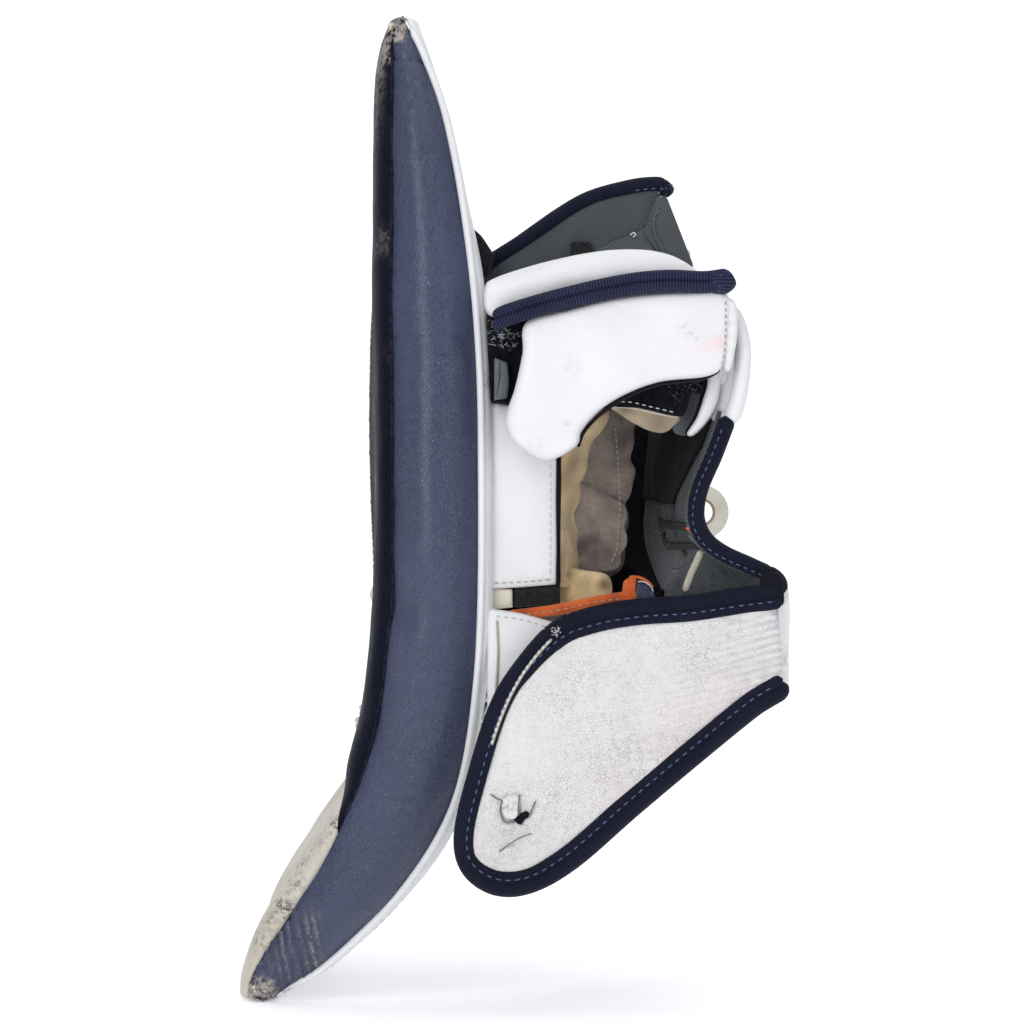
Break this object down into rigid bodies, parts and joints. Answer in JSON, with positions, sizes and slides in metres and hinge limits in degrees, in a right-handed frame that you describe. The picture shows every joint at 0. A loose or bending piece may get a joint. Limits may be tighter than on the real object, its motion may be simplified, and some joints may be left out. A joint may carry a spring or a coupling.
{
  "type": "goalie catch glove",
  "caption": "Left-hand ice hockey goalie catch glove with a one-piece cuff and thumb, a folding finger board, a laced pocket and hinged wrist flaps.",
  "frame": {"origin": "middle of the hand opening at the wrist, between the palm liner and the back of the hand", "axes": "+X from the catching face towards the back of the hand, +Y from the wrist to the fingertips, +Z towards the little-finger side"},
  "size_m": [0.2221, 0.3298, 0.399],
  "materials": {
    "foam": "matte",
    "felt": "matte",
    "board": "matte",
    "clip": "satin",
    "navy_leather": "satin",
    "cream_leather": "satin",
    "white_leather": "satin",
    "tan_leather": "matte",
    "suede": "matte",
    "webbing": "matte",
    "orange_leather": "satin",
    "nylon": "matte",
    "binding": "matte",
    "ring_plastic": "satin",
    "lace": "matte"
  },
  "bodies": {
    "cuff": {"cuff_core": "foam", "cuff_stiffener": "board", "cuff_face_skin": "navy_leather", "thumb_face_skin": "cream_leather", "edge_band": "navy_leather", "edge_piping": "white_leather", "cuff_back_skin": "white_leather", "heel_panel": "white_leather", "cream_strip": "cream_leather", "thumb_stall": "suede", "thumb_back_pad": "white_leather", "palm_liner": "tan_leather", "palm_suede": "suede", "wrist_panel": "white_leather", "under_strap": "cream_leather", "black_strap": "webbing", "orange_strip": "orange_leather", "pull_loop": "orange_leather", "webbing_tie": "webbing", "backhand_pad": "white_leather", "backhand_lining": "nylon", "backhand_binding": "binding", "lining_patch": "nylon", "ring_tab": "webbing", "white_roll": "white_leather", "guard_side": "white_leather", "inner_guard": "white_leather", "grey_band": "nylon", "felt_wall": "felt", "suede_tab": "suede", "gap_felt": "felt", "grey_clip": "clip", "guard_top_pad": "white_leather", "guard_top_binding": "binding", "break_roll": "navy_leather", "palm_pad": "felt", "guard_core": "felt"},
    "ring": {"strap_ring": "ring_plastic"},
    "lobe": {"guard_lobe": "white_leather", "lobe_backing": "felt"},
    "upper_flap": {"upper_flap_shell": "navy_leather", "upper_flap_lining": "nylon", "upper_flap_binding": "binding", "flap_gusset": "nylon", "flap_loop": "webbing"},
    "side_flap": {"side_flap_core": "foam", "side_flap_skin": "white_leather", "side_flap_backing": "nylon", "side_flap_binding": "binding"},
    "fingers": {"finger_core": "foam", "finger_face_skin": "navy_leather", "finger_back_skin": "white_leather", "finger_edge_band": "navy_leather", "finger_stalls": "suede", "finger_back_pad": "white_leather"},
    "pocket": {"pocket_net": "lace", "t_spine": "navy_leather", "t_bar": "navy_leather"}
  },
  "joints": [
    {"name": "finger_break", "type": "hinge", "parent": "cuff", "child": "fingers", "pos_m": [-0.101, 0.1092, 0.06], "axis": [0, -0.2994, 0.9541], "range_deg": [-6, 45]},
    {"name": "pocket_fold", "type": "hinge", "parent": "cuff", "child": "pocket", "pos_m": [-0.101, 0.1092, 0.06], "axis": [0, -0.2994, 0.9541], "range_deg": [-3, 22.5]},
    {"name": "side_flap_hinge", "type": "hinge", "parent": "cuff", "child": "side_flap", "pos_m": [0.066, -0.0365, -0.057], "axis": [0, 0, 1], "range_deg": [0, 60]},
    {"name": "lobe_hinge", "type": "hinge", "parent": "cuff", "child": "lobe", "pos_m": [0, -0.0475, 0.0835], "axis": [-1, 0, 0], "range_deg": [0, 35]},
    {"name": "upper_flap_hinge", "type": "hinge", "parent": "cuff", "child": "upper_flap", "pos_m": [0, 0.023, 0.091], "axis": [1, 0, 0], "range_deg": [-40, 15]},
    {"name": "ring_swing", "type": "hinge", "parent": "cuff", "child": "ring", "pos_m": [0.0277, 0.09, -0.005], "axis": [0, 0, 1], "range_deg": [-25, 25]}
  ],
  "couplings": [
    {"joint": "pocket_fold", "follows": "finger_break", "ratio": 0.5}
  ]
}
